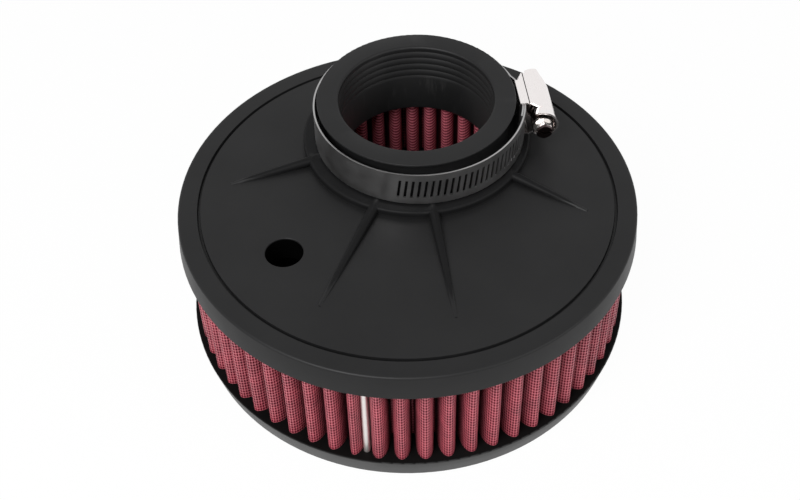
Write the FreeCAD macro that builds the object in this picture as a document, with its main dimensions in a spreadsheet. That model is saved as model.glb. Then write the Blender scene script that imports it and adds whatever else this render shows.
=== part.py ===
"""Universal clamp-on air filter: an offset rubber neck on a round pleated filter, with a worm-drive clamp.

Millimetres. The origin is the centre of the filter's bottom face. +Z is up through the neck, and the neck
stands off the filter's axis along +Y. The clamp's own pieces are drawn about the centre of its band, with X
out to the screw and Y along the screw, and are then placed round the neck.
"""

import FreeCAD, Part
import math
import os

import Sketcher

SIZES = (
    # caps
    ("cap_radius", 76.2),
    ("cap_thickness", 9.3),
    ("cap_edge_round", 0.9),
    ("rim_flare", 0.75),
    ("rim_foot_round", 0.4),
    ("filter_height", 53.6),
    ("ring_groove_inset", 6.95),
    ("ring_groove_width", 1.1),
    ("ring_groove_depth", 1.2),
    ("base_margin", 2.9),
    ("base_thickness", 8.4),
    ("base_taper", 2.0),
    ("base_edge_round", 0.5),
    # neck
    ("neck_inset", 7.15),
    ("neck_height", 18.9),
    ("bore_radius", 26.3),
    ("neck_wall", 5.5),
    ("bore_edge_round", 0.9),
    ("lip_overhang", 1.9),
    ("lip_thickness", 2.6),
    ("lip_edge_height", 0.7),
    ("lip_edge_round", 0.3),
    ("collar_reach", 7.4),
    ("collar_height", 2.85),
    ("collar_edge_round", 1.0),
    ("seal_count", 5),
    ("seal_first_depth", 1.9),
    ("seal_pitch", 2.65),
    ("seal_width", 1.5),
    ("seal_depth", 0.55),
    # vent hole in the top cap
    ("vent_radius", 6.2),
    ("vent_inset", 8.9),
    ("vent_azimuth", -140.5),
    ("vent_edge_round", 0.3),
    # ribs on the top cap, measured round the neck
    ("rib_root_radius", 2.0),
    ("rib_tip_radius", 0.7),
    ("rib_tip_height", 0.25),
    ("long_rib_angle", 15.0),
    ("long_rib_reach", 82.0),
    ("short_rib_angle", 64.0),
    ("short_rib_reach", 66.5),
    # pleated element
    ("pleat_count", 61),
    ("cap_overhang", 2.9),
    ("pleat_depth", 11.4),
    ("sheet_thickness", 2.1),
    ("fold_radius", 0.35),
    ("seam_azimuth", -94.0),
    ("crimp_thickness", 0.7),
    # clip over the seam
    ("clip_recess", 0.5),
    ("clip_length", 5.9),
    ("clip_nose_wall", 1.45),
    ("clip_wall", 0.65),
    ("clip_clearance", 0.05),
    # clamp band
    ("clamp_shift_out", 1.0),
    ("clamp_shift_along", 0.3),
    ("clamp_azimuth", 13.1),
    ("clamp_rest_gap", 0.15),
    ("band_room", 4.3),
    ("band_thickness", 0.65),
    ("band_width", 12.7),
    ("band_layer_gap", 0.05),
    ("tongue_angle", 19.0),
    ("release_angle", 5.0),
    ("tail_length", 15.2),
    ("slot_count", 30),
    ("tail_slot_count", 6),
    ("slot_step_angle", 3.5),
    ("slot_length", 7.4),
    ("slot_width", 0.9),
    ("slot_slant", 7.0),
    # clamp housing
    ("housing_sheet", 0.65),
    ("housing_play", 0.1),
    ("wrap_length", 12.2),
    ("wrap_fold_radius", 0.8),
    ("wrap_depth", 3.8),
    ("wrap_rear", 9.8),
    ("wrap_corner", 1.3),
    ("barrel_drop", 2.05),
    ("barrel_front", 10.1),
    ("barrel_rear", 14.0),
    ("barrel_end_round", 2.6),
    ("mouth_flare", 0.2),
    ("mouth_length", 1.2),
    # clamp screw
    ("thread_radius", 4.1),
    ("thread_root_radius", 3.3),
    ("thread_length", 13.0),
    ("screw_play", 0.2),
    ("screw_shank_radius", 2.4),
    ("screw_collar_radius", 3.3),
    ("screw_collar_recess", 0.9),
    ("screw_collar_length", 1.2),
    ("hex_across_flats", 5.0),
    ("hex_length", 3.35),
    ("hex_corner_drop", 0.4),
    ("driver_slot_width", 0.9),
    ("driver_slot_depth", 1.2),
)


class Size:
    """A value of the sheet, or a formula of such values: a number, and the expression that binds it."""

    def __init__(self, number, text):
        self.number = number
        self.text = text

    def __add__(self, other):
        other = as_size(other)
        return Size(self.number + other.number, f"({self.text} + {other.text})")

    def __sub__(self, other):
        other = as_size(other)
        return Size(self.number - other.number, f"({self.text} - {other.text})")

    def __mul__(self, other):
        other = as_size(other)
        return Size(self.number * other.number, f"({self.text} * {other.text})")

    def __truediv__(self, other):
        other = as_size(other)
        return Size(self.number / other.number, f"({self.text} / {other.text})")

    def __neg__(self):
        return Size(-self.number, f"(0 - {self.text})")


def as_size(value):
    return value if isinstance(value, Size) else Size(float(value), f"({value})")


def cosine(angle):
    angle = as_size(angle)
    return Size(math.cos(math.radians(angle.number)), f"cos({angle.text} * 1 deg)")


def sine(angle):
    angle = as_size(angle)
    return Size(math.sin(math.radians(angle.number)), f"sin({angle.text} * 1 deg)")


def arc_tangent(rise, run):
    degrees = math.degrees(math.atan2(rise.number, run.number))
    return Size(degrees, f"(atan({rise.text} / {run.text}) / 1 deg)")


def square_root(value):
    return Size(math.sqrt(value.number), f"sqrt({value.text})")


def fill_sheet(document):
    """Writes the driving dimensions to a sheet, and gives them back by name with those that follow."""
    sheet = document.addObject("Spreadsheet::Sheet", "Sizes")
    for row, (name, value) in enumerate(SIZES, start=1):
        sheet.set(f"A{row}", name.replace("_", " "))
        sheet.set(f"B{row}", str(value))
        sheet.setAlias(f"B{row}", name)
    document.recompute()
    size = {name: Size(float(sheet.get(name)), f"Sizes.{name}") for name, value in SIZES}
    size["pleat_outer_radius"] = size["cap_radius"] - size["cap_overhang"]
    size["pleat_inner_radius"] = size["pleat_outer_radius"] - size["pleat_depth"]
    size["base_radius"] = size["pleat_outer_radius"] + size["base_margin"]
    size["neck_radius"] = size["bore_radius"] + size["neck_wall"]
    size["collar_radius"] = size["neck_radius"] + size["collar_reach"]
    size["band_radius"] = size["neck_radius"] + size["band_room"]
    housing_wall = size["housing_sheet"] + size["housing_play"]
    size["band_foot"] = size["collar_height"] + size["clamp_rest_gap"] + housing_wall
    size["rib_root"] = size["bore_radius"] + size["neck_wall"] * 0.7
    back = size["band_foot"] - size["clamp_rest_gap"] - size["rib_tip_height"]
    spread = (size["long_rib_reach"] - size["rib_root"]) / (size["long_rib_reach"] - size["band_radius"])
    size["rib_height"] = size["rib_tip_height"] + back * spread
    size["neck_offset"] = size["pleat_inner_radius"] - size["bore_radius"] - size["neck_inset"]
    size["vent_distance"] = size["pleat_inner_radius"] - size["vent_radius"] - size["vent_inset"]
    size["clip_outer_radius"] = size["pleat_outer_radius"] - size["clip_recess"]
    size["clip_floor_radius"] = size["clip_outer_radius"] - size["clip_nose_wall"]
    size["crimp_reach"] = size["clip_floor_radius"] - size["clip_clearance"]
    return size


def placement_text(x, y, z, yaw=0, pitch=0, roll=0):
    """The expression of a placement from a point and three turns, about Z, then Y, then X."""
    x, y, z, yaw, pitch, roll = (as_size(value).text for value in (x, y, z, yaw, pitch, roll))
    point = f"create(<<vector>>; {x}; {y}; {z})"
    turn = f"create(<<rotation>>; {yaw}; {pitch}; {roll})"
    return f"create(<<placement>>; {point}; {turn})"


def new_body(document, name):
    body = document.addObject("PartDesign::Body", name)
    body.Label = name
    return body


def new_sketch(body, name, plane_role, offset=None):
    """A sketch on one of the body's own origin planes, moved by an offset in that plane's frame."""
    sketch = body.newObject("Sketcher::SketchObject", name)
    plane = next(feature for feature in body.Origin.OriginFeatures if feature.Role == plane_role)
    sketch.AttachmentSupport = [(plane, "")]
    sketch.MapMode = "FlatFace"
    if offset:
        sketch.setExpression("AttachmentOffset", offset)
    return sketch


def bind(sketch, constraint, size):
    index = sketch.addConstraint(constraint)
    sketch.setExpression(f"Constraints[{index}]", size.text)


def pin_coordinate(sketch, edge, end, size, kind, axis):
    """Holds one coordinate of a point of the sketch. A plain 0 puts the point on the sketch's own axis."""
    if isinstance(size, Size):
        bind(sketch, Sketcher.Constraint(kind, edge, end, size.number), size)
    else:
        sketch.addConstraint(Sketcher.Constraint("PointOnObject", edge, end, axis))


def pin_point(sketch, edge, end, corner):
    pin_coordinate(sketch, edge, end, corner[0], "DistanceX", -2)
    pin_coordinate(sketch, edge, end, corner[1], "DistanceY", -1)


def vector(corner):
    return FreeCAD.Vector(as_size(corner[0]).number, as_size(corner[1]).number, 0)


def draw_outline(sketch, corners, arcs=None):
    """A closed outline of straight edges, and of round ones where arcs has the number of their first corner.

    arcs gives a round edge's centre, and whether it runs clockwise from its first corner to the next.
    """
    arcs = arcs or {}
    count = len(corners)
    for index, corner in enumerate(corners):
        start = vector(corner)
        end = vector(corners[(index + 1) % count])
        if index in arcs:
            centre, clockwise = arcs[index]
            middle = vector(centre)
            first, last = (end, start) if clockwise else (start, end)
            first_angle = math.atan2(first.y - middle.y, first.x - middle.x)
            last_angle = math.atan2(last.y - middle.y, last.x - middle.x)
            circle = Part.Circle(middle, FreeCAD.Vector(0, 0, 1), (start - middle).Length)
            sketch.addGeometry(Part.ArcOfCircle(circle, first_angle, last_angle), False)
        else:
            sketch.addGeometry(Part.LineSegment(start, end), False)
    for index in range(count):
        following = (index + 1) % count
        end_point = 1 if index in arcs and arcs[index][1] else 2
        start_point = 2 if following in arcs and arcs[following][1] else 1
        sketch.addConstraint(Sketcher.Constraint("Coincident", index, end_point, following, start_point))
    for index, corner in enumerate(corners):
        start_point = 2 if index in arcs and arcs[index][1] else 1
        pin_point(sketch, index, start_point, corner)
    for index, (centre, clockwise) in arcs.items():
        pin_coordinate(sketch, index, 3, centre[0], "DistanceX", -2)


def draw_circle(sketch, centre, radius):
    circle = Part.Circle(vector(centre), FreeCAD.Vector(0, 0, 1), radius.number)
    edge = sketch.addGeometry(circle, False)
    pin_point(sketch, edge, 3, centre)
    bind(sketch, Sketcher.Constraint("Radius", edge, radius.number), radius)


def turn_profile(body, kind, name, sketch):
    """A full turn of the sketch about its own vertical axis, added or cut."""
    feature = body.newObject(kind, name)
    feature.Profile = sketch
    feature.ReferenceAxis = (sketch, ["V_Axis"])
    feature.Angle = 360
    return feature


def pad_profile(body, name, sketch, length):
    feature = body.newObject("PartDesign::Pad", name)
    feature.Profile = sketch
    feature.setExpression("Length", length.text)
    return feature


def pocket_profile(body, name, sketch, length, reversed_way=False):
    feature = body.newObject("PartDesign::Pocket", name)
    feature.Profile = sketch
    feature.setExpression("Length", length.text)
    feature.Reversed = reversed_way
    return feature


def ring_edges(shape, rings):
    """The names of the full circles about +Z with the given radius, height and centre along Y."""
    names = []
    for number, edge in enumerate(shape.Edges, start=1):
        if not isinstance(edge.Curve, Part.Circle):
            continue
        for radius, height, along in rings:
            near_radius = abs(edge.Curve.Radius - radius.number) < 1e-3
            near_height = abs(edge.Curve.Center.z - height.number) < 1e-3
            near_centre = abs(edge.Curve.Center.y - as_size(along).number) < 1e-3
            if near_radius and near_height and near_centre:
                names.append(f"Edge{number}")
    return names


def round_edges(body, name, base, names, radius):
    feature = body.newObject("PartDesign::Fillet", name)
    feature.Base = (base, names)
    feature.setExpression("Radius", radius.text)
    return feature


def edges_through(shape, points):
    """The names of the edges that pass through any of the given points."""
    names = []
    for number, edge in enumerate(shape.Edges, start=1):
        for point in points:
            if edge.distToShape(Part.Vertex(point))[0] < 1e-4:
                names.append(f"Edge{number}")
                break
    return names


def neck_profile(size, face, top):
    """Half the neck's outside, from the collar at its foot to the lip at its mouth."""
    wall = size["neck_radius"]
    lip = wall + size["lip_overhang"]
    inside = face - size["cap_thickness"] / 2
    collar_top = face + size["collar_height"]
    return [
        (0, inside),
        (size["collar_radius"], inside),
        (size["collar_radius"], collar_top),
        (wall, collar_top),
        (wall, top - size["lip_thickness"]),
        (lip, top - size["lip_edge_height"]),
        (lip, top),
        (0, top),
    ]


def bore_profile(size, under, top):
    """Half the neck's bore, with its sealing grooves, running past the cap's underside and the lip."""
    bore = size["bore_radius"]
    corners = [(0, top + size["cap_edge_round"]), (bore, top + size["cap_edge_round"])]
    for index in range(int(size["seal_count"].number)):
        upper = top - size["seal_first_depth"] - size["seal_pitch"] * index
        corners.append((bore, upper))
        corners.append((bore + size["seal_depth"], upper - size["seal_width"] * 0.35))
        corners.append((bore, upper - size["seal_width"]))
    corners.append((bore, under - size["cap_edge_round"]))
    corners.append((0, under - size["cap_edge_round"]))
    return corners


def make_top_cap(document, size):
    """One rubber moulding: cap, ring groove, offset neck with its lip and collar, vent hole and four ribs."""
    face = size["filter_height"]
    under = face - size["cap_thickness"]
    top = face + size["neck_height"]
    offset = size["neck_offset"]
    body = new_body(document, "cap_moulding")

    disc = new_sketch(body, "DiscProfile", "XZ_Plane")
    rim_foot = size["cap_radius"] + size["rim_flare"]
    groove_mid = size["cap_radius"] - size["ring_groove_inset"]
    groove_half = size["ring_groove_width"] / 2
    groove_floor = face - size["ring_groove_depth"]
    draw_outline(disc, [
        (0, under),
        (rim_foot, under),
        (size["cap_radius"], face),
        (groove_mid + groove_half, face),
        (groove_mid + groove_half * 0.6, groove_floor),
        (groove_mid - groove_half * 0.6, groove_floor),
        (groove_mid - groove_half, face),
        (0, face),
    ])
    turn_profile(body, "PartDesign::Revolution", "Disc", disc)

    on_neck = placement_text(offset, 0, 0)
    neck = new_sketch(body, "NeckProfile", "YZ_Plane", on_neck)
    draw_outline(neck, neck_profile(size, face, top))
    turn_profile(body, "PartDesign::Revolution", "Neck", neck)

    bore = new_sketch(body, "BoreProfile", "YZ_Plane", on_neck)
    draw_outline(bore, bore_profile(size, under, top))
    turn_profile(body, "PartDesign::Groove", "Bore", bore)

    vent = new_sketch(body, "VentCircle", "XY_Plane")
    vent_x = size["vent_distance"] * cosine(size["vent_azimuth"])
    vent_y = size["vent_distance"] * sine(size["vent_azimuth"])
    draw_circle(vent, (vent_x, vent_y), size["vent_radius"])
    vented = pocket_profile(body, "Vent", vent, top, reversed_way=True)
    document.recompute()

    lip = size["neck_radius"] + size["lip_overhang"]
    rounds = (
        ("RimRound", size["cap_edge_round"], [(size["cap_radius"], face, 0)]),
        ("RimFootRound", size["rim_foot_round"], [(rim_foot, under, 0)]),
        ("LipRound", size["lip_edge_round"], [
            (lip, top, offset),
            (lip, top - size["lip_edge_height"], offset),
        ]),
        ("BoreRound", size["bore_edge_round"], [
            (size["bore_radius"], top, offset),
            (size["bore_radius"], under, offset),
        ]),
        ("CollarRound", size["collar_edge_round"], [
            (size["collar_radius"], face + size["collar_height"], offset),
        ]),
        ("VentRound", size["vent_edge_round"], [(size["vent_radius"], face, vent_y)]),
    )
    last = vented
    for name, radius, rings in rounds:
        last = round_edges(body, name, last, ring_edges(last.Shape, rings), radius)
        document.recompute()
    body.Tip = last

    moulding = document.addObject("Part::MultiFuse", "top_cap")
    moulding.Label = "top_cap"
    moulding.Shapes = [body] + make_ribs(document, size, face)
    moulding.Refine = True
    return moulding


def make_ribs(document, size, face):
    """Four round-backed ribs that run out from the neck and sink into the cap's face at their tips."""
    ribs = []
    root = size["rib_root"]
    root_height = face + size["rib_height"] - size["rib_root_radius"]
    tip_height = face + size["rib_tip_height"] - size["rib_tip_radius"]
    for name, angle, reach in (
        ("LongRibLeft", -size["long_rib_angle"], size["long_rib_reach"]),
        ("LongRibRight", size["long_rib_angle"], size["long_rib_reach"]),
        ("ShortRibLeft", -size["short_rib_angle"], size["short_rib_reach"]),
        ("ShortRibRight", size["short_rib_angle"], size["short_rib_reach"]),
    ):
        run = reach - root
        drop = root_height - tip_height
        slope = arc_tangent(drop, run)
        heading = angle - 90
        rib = document.addObject("Part::Cone", name)
        rib.setExpression("Radius1", size["rib_root_radius"].text)
        rib.setExpression("Radius2", size["rib_tip_radius"].text)
        rib.setExpression("Height", square_root(run * run + drop * drop).text)
        at_x = root * cosine(heading)
        at_y = size["neck_offset"] + root * sine(heading)
        rib.setExpression("Placement", placement_text(at_x, at_y, root_height, heading, slope + 90))
        ribs.append(rib)
    return ribs


def make_bottom_cap(document, size):
    """The closed rubber cap that the filter stands on."""
    body = new_body(document, "bottom_cap")
    disc = new_sketch(body, "BaseProfile", "XZ_Plane")
    foot = size["base_radius"] - size["base_taper"]
    draw_outline(disc, [
        (0, 0),
        (foot, 0),
        (size["base_radius"], size["base_thickness"]),
        (0, size["base_thickness"]),
    ])
    base = turn_profile(body, "PartDesign::Revolution", "Base", disc)
    document.recompute()
    rings = [(size["base_radius"], size["base_thickness"], 0), (foot, as_size(0), 0)]
    body.Tip = round_edges(body, "BaseRound", base, ring_edges(base.Shape, rings), size["base_edge_round"])
    return body


def polar(radius, angle):
    return FreeCAD.Vector(radius * math.cos(angle), radius * math.sin(angle), 0)


def crossing_tangent(start, start_radius, end, end_radius, side):
    """The ends of the straight line that leaves one circle and crosses over to the other side of the next."""
    span = end - start
    turn = math.atan2(span.y, span.x)
    lean = math.acos((start_radius + end_radius) / span.Length)
    normal = polar(1, turn + side * lean)
    return start + normal * start_radius, end - normal * end_radius


def corner_arc(start, centre, end):
    """The shorter arc about a centre from one point to another."""
    middle = (start - centre) + (end - centre)
    middle.normalize()
    return Part.Arc(start, centre + middle * (start - centre).Length, end)


def pleat_face(size, outer_bend, inner_bend):
    """One face of the folded sheet as a chain of edges, from one side of the seam round to the other.

    outer_bend and inner_bend are this face's radii where the sheet turns at an outer and at an inner fold.
    The face is round on the outside of a fold, and creased flat across the fold radius on its inside.
    The seam is at angle 0, and the sheet's first and last inner folds stop square to it.
    """
    count = int(size["pleat_count"].number)
    bend = size["fold_radius"].number + size["sheet_thickness"].number
    outer_fold = size["pleat_outer_radius"].number - bend
    inner_fold = size["pleat_inner_radius"].number + bend
    seam_half = math.asin((size["crimp_thickness"].number / 2 + size["fold_radius"].number) / inner_fold)
    step = (2 * math.pi - 2 * seam_half) / count
    square = FreeCAD.Vector(inner_bend, 0, 0)
    round_nose = outer_bend > inner_bend
    edges = []
    for index in range(count):
        low_angle = seam_half + step * index
        nose_angle = low_angle + step / 2
        before = polar(inner_fold, low_angle)
        nose = polar(outer_fold, nose_angle)
        after = polar(inner_fold, low_angle + step)
        rise_start, rise_end = crossing_tangent(before, inner_bend, nose, outer_bend, 1)
        fall_start, fall_end = crossing_tangent(nose, outer_bend, after, inner_bend, -1)
        if index == 0:
            edges.append(corner_arc(before - square, before, rise_start))
        elif round_nose:
            edges.append(Part.LineSegment(last_fall_end, rise_start))
        else:
            edges.append(Part.Arc(last_fall_end, polar(inner_fold - inner_bend, low_angle), rise_start))
        edges.append(Part.LineSegment(rise_start, rise_end))
        if round_nose:
            edges.append(Part.Arc(rise_end, polar(outer_fold + outer_bend, nose_angle), fall_start))
        else:
            edges.append(Part.LineSegment(rise_end, fall_start))
        edges.append(Part.LineSegment(fall_start, fall_end))
        last_fall_end = fall_end
    edges.append(corner_arc(last_fall_end, after, after - square))
    return edges


def chain(points):
    return [Part.LineSegment(start, end) for start, end in zip(points, points[1:])]


def wire_of(edges):
    return Part.Wire([edge.toShape() for edge in edges])


def make_pleated_element(document, size):
    """The gauze and mesh sheet, folded into pleats all round and crimped to itself at one seam."""
    sheet = size["sheet_thickness"].number
    fold = size["fold_radius"].number
    outside = pleat_face(size, fold + sheet, fold)
    inside = pleat_face(size, fold, fold + sheet)
    first = outside[0].StartPoint
    last = outside[-1].EndPoint
    half = size["crimp_thickness"].number / 2
    reach = size["crimp_reach"].number
    outside += chain([
        last,
        FreeCAD.Vector(last.x, -half, 0),
        FreeCAD.Vector(reach, -half, 0),
        FreeCAD.Vector(reach, half, 0),
        FreeCAD.Vector(first.x, half, 0),
        first,
    ])
    inside += chain([inside[-1].EndPoint, inside[0].StartPoint])
    section = Part.makeFace([wire_of(outside), wire_of(inside)], "Part::FaceMakerBullseye")
    foot = size["base_thickness"]
    height = size["filter_height"] - size["cap_thickness"] - foot
    element = document.addObject("Part::Feature", "pleated_element")
    element.Label = "pleated_element"
    element.Shape = section.extrude(FreeCAD.Vector(0, 0, height.number))
    element.setExpression("Placement", placement_text(0, 0, foot, size["seam_azimuth"]))
    return element


def make_seam_clip(document, size):
    """The folded metal strip that grips the two crimped ends of the sheet, from cap to cap."""
    body = new_body(document, "seam_clip")
    gap_half = size["crimp_thickness"] / 2 + size["clip_clearance"]
    half = gap_half + size["clip_wall"]
    nose = size["clip_outer_radius"] - half
    inner = size["clip_outer_radius"] - size["clip_length"]
    floor = size["clip_floor_radius"]
    section = new_sketch(body, "ClipSection", "XY_Plane")
    draw_outline(section, [
        (inner, -half),
        (nose, -half),
        (nose, half),
        (inner, half),
        (inner, gap_half),
        (floor, gap_half),
        (floor, -gap_half),
        (inner, -gap_half),
    ], arcs={1: ((nose, 0), False)})
    foot = size["base_thickness"]
    pad_profile(body, "Clip", section, size["filter_height"] - size["cap_thickness"] - foot)
    body.setExpression("Placement", placement_text(0, 0, foot, size["seam_azimuth"]))
    return body


def clamp_place(size, out=0, along=0, yaw=0, pitch=0):
    """The placement of a clamp piece: a point of the clamp's own frame, and a turn about Z and then Y."""
    azimuth = size["clamp_azimuth"]
    centre_x = size["clamp_shift_out"]
    centre_y = size["neck_offset"] + size["clamp_shift_along"]
    centre_z = size["filter_height"] + size["band_foot"] + size["band_width"] / 2
    at_x = centre_x + cosine(azimuth) * out - sine(azimuth) * along
    at_y = centre_y + sine(azimuth) * out + cosine(azimuth) * along
    return placement_text(at_x, at_y, centre_z, azimuth + yaw, pitch)


def make_clamp_band(document, size):
    """One steel strip: a tongue under the housing, once round the neck, and a slotted tail through it."""
    body = new_body(document, "clamp_band")
    zero = (0, 0)
    outer = size["band_radius"]
    inner = outer - size["band_thickness"]
    tongue_outer = inner - size["band_layer_gap"]
    tongue_inner = tongue_outer - size["band_thickness"]
    release = size["release_angle"]
    tongue = size["tongue_angle"]
    tail_x = size["tail_length"] * sine(release)
    tail_y = size["tail_length"] * cosine(release)
    plan = new_sketch(body, "StripPlan", "XY_Plane", placement_text(0, 0, -size["band_width"] / 2))
    draw_outline(plan, [
        (tongue_outer * cosine(tongue), -tongue_outer * sine(tongue)),
        (tongue_outer, 0),
        (tongue_outer, square_root(outer * outer - tongue_outer * tongue_outer)),
        (outer * cosine(release), -outer * sine(release)),
        (outer * cosine(release) + tail_x, -outer * sine(release) + tail_y),
        (inner * cosine(release) + tail_x, -inner * sine(release) + tail_y),
        (inner * cosine(release), -inner * sine(release)),
        (tongue_inner, square_root(inner * inner - tongue_inner * tongue_inner)),
        (tongue_inner, 0),
        (tongue_inner * cosine(tongue), -tongue_inner * sine(tongue)),
    ], arcs={
        0: (zero, False),
        2: (zero, False),
        6: (zero, True),
        8: (zero, True),
    })
    pad_profile(body, "Strip", plan, size["band_width"])

    stand_off = size["band_thickness"]
    distance = outer + stand_off
    on_band = placement_text(-distance * sine(release), 0, distance * cosine(release), 0, -release)
    slot = new_sketch(body, "SlotOutline", "YZ_Plane", on_band)
    half_width = size["slot_width"] / 2
    half_length = size["slot_length"] / 2
    lean = half_length * sine(size["slot_slant"]) / cosine(size["slot_slant"])
    draw_outline(slot, [
        (-half_width - lean, -half_length),
        (half_width - lean, -half_length),
        (half_width + lean, half_length),
        (-half_width + lean, half_length),
    ])
    depth = stand_off + size["band_thickness"] + size["band_layer_gap"] / 2
    first_slot = pocket_profile(body, "Slot", slot, depth)
    document.recompute()

    around = body.newObject("PartDesign::PolarPattern", "SlotsRound")
    around.Originals = [first_slot]
    around.Axis = (next(axis for axis in body.Origin.OriginFeatures if axis.Role == "Z_Axis"), [""])
    around.Reversed = True
    around.setExpression("Angle", (size["slot_step_angle"] * (size["slot_count"] - 1)).text)
    around.setExpression("Occurrences", size["slot_count"].text)
    body.Tip = around
    document.recompute()

    straight = body.newObject("PartDesign::LinearPattern", "SlotsAlongTail")
    straight.Originals = [first_slot]
    straight.Direction = (slot, ["H_Axis"])
    pitch = size["slot_step_angle"] * (outer - size["band_thickness"] / 2) * (math.pi / 180)
    straight.setExpression("Length", (pitch * size["tail_slot_count"]).text)
    straight.setExpression("Occurrences", (size["tail_slot_count"] + 1).text)
    body.Tip = straight
    body.setExpression("Placement", clamp_place(size))
    return body


def screw_axis_distance(size):
    """How far the screw's axis stands from the band's centre: its thread just clears the strip's tail."""
    release = size["release_angle"]
    outer = size["band_radius"]
    run = (size["wrap_length"] / 2 + outer * sine(release)) / cosine(release)
    tail_face = outer * cosine(release) + run * sine(release)
    return tail_face + size["thread_radius"] + size["housing_play"]


def make_clamp_housing(document, size):
    """Folded sheet: a saddle under the strip, two sides, and a barrel over the screw with a flared mouth."""
    body = new_body(document, "clamp_housing")
    sheet = size["housing_sheet"]
    axis = screw_axis_distance(size)
    half_wrap = size["wrap_length"] / 2
    tongue_inner = size["band_radius"] - size["band_thickness"] * 2 - size["band_layer_gap"]
    saddle_outer = square_root(tongue_inner * tongue_inner - half_wrap * half_wrap) - size["housing_play"] / 2
    saddle_inner = saddle_outer - sheet
    side_inner = size["band_width"] / 2 + size["housing_play"]
    side_outer = side_inner + sheet
    fold = saddle_inner + size["wrap_depth"]
    barrel_inner = size["thread_radius"] + size["screw_play"]
    barrel_outer = barrel_inner + sheet
    front = -size["barrel_front"]
    rear = size["barrel_rear"]
    flare = size["mouth_flare"]
    end_round = size["barrel_end_round"]
    inner_round = end_round - sheet

    shell = new_sketch(body, "BarrelProfile", "XY_Plane")
    draw_outline(shell, [
        (axis, rear),
        (axis, rear - sheet),
        (axis + barrel_inner - inner_round, rear - sheet),
        (axis + barrel_inner, rear - sheet - inner_round),
        (axis + barrel_inner, front + size["mouth_length"]),
        (axis + barrel_inner + flare, front),
        (axis + barrel_outer + flare, front),
        (axis + barrel_outer, front + size["mouth_length"]),
        (axis + barrel_outer, rear - end_round),
        (axis + barrel_outer - end_round, rear),
    ], arcs={
        2: ((axis + barrel_inner - inner_round, 0), True),
        8: ((axis + barrel_outer - end_round, 0), False),
    })
    spine = shell.addGeometry(Part.LineSegment(vector((axis, rear)), vector((axis, front))), True)
    pin_point(shell, spine, 1, (axis, rear))
    pin_point(shell, spine, 2, (axis, front))
    barrel = body.newObject("PartDesign::Revolution", "Barrel")
    barrel.Profile = shell
    barrel.ReferenceAxis = (shell, ["Axis0"])
    barrel.Angle = 360

    drop = size["barrel_drop"]
    wide = barrel_outer + flare + size["housing_play"]
    slit = new_sketch(body, "BarrelOpening", "XZ_Plane", placement_text(0, 0, -rear - size["housing_play"]))
    draw_outline(slit, [
        (axis - wide, -wide),
        (axis - drop, -wide),
        (axis - drop, wide),
        (axis - wide, wide),
    ])
    pocket_profile(body, "OpenSide", slit, rear - front + size["housing_play"] * 2, reversed_way=True)

    inner_edge = square_root(barrel_inner * barrel_inner - drop * drop)
    outer_edge = square_root(barrel_outer * barrel_outer - drop * drop)
    wrap = new_sketch(body, "WrapSection", "XZ_Plane", placement_text(0, 0, -size["wrap_rear"]))
    draw_outline(wrap, [
        (saddle_inner, -side_outer),
        (fold, -side_outer),
        (axis - drop, -outer_edge),
        (axis - drop, -inner_edge),
        (fold, -side_inner),
        (saddle_outer, -side_inner),
        (saddle_outer, side_inner),
        (fold, side_inner),
        (axis - drop, inner_edge),
        (axis - drop, outer_edge),
        (fold, side_outer),
        (saddle_inner, side_outer),
    ])
    pad_profile(body, "Wrap", wrap, half_wrap + size["wrap_rear"])

    play = size["housing_play"]
    past_end = size["wrap_rear"] + play
    corner = new_sketch(body, "RearCorners", "XY_Plane", placement_text(0, 0, -side_outer - play))
    draw_outline(corner, [
        (saddle_inner - play, half_wrap),
        (saddle_inner + size["wrap_corner"], half_wrap),
        (fold - size["wrap_fold_radius"] - play, past_end),
        (saddle_inner - play, past_end),
    ])
    wrapped = pocket_profile(body, "RearCornersCut", corner, (side_outer + play) * 2, reversed_way=True)
    document.recompute()

    bends = []
    for reach in (saddle_inner, fold):
        for side in (-side_outer, side_outer):
            bends.append(FreeCAD.Vector(reach.number, 0, side.number))
    edges = edges_through(wrapped.Shape, bends)
    body.Tip = round_edges(body, "Bends", wrapped, edges, size["wrap_fold_radius"])
    body.setExpression("Placement", clamp_place(size))
    return body


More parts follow.
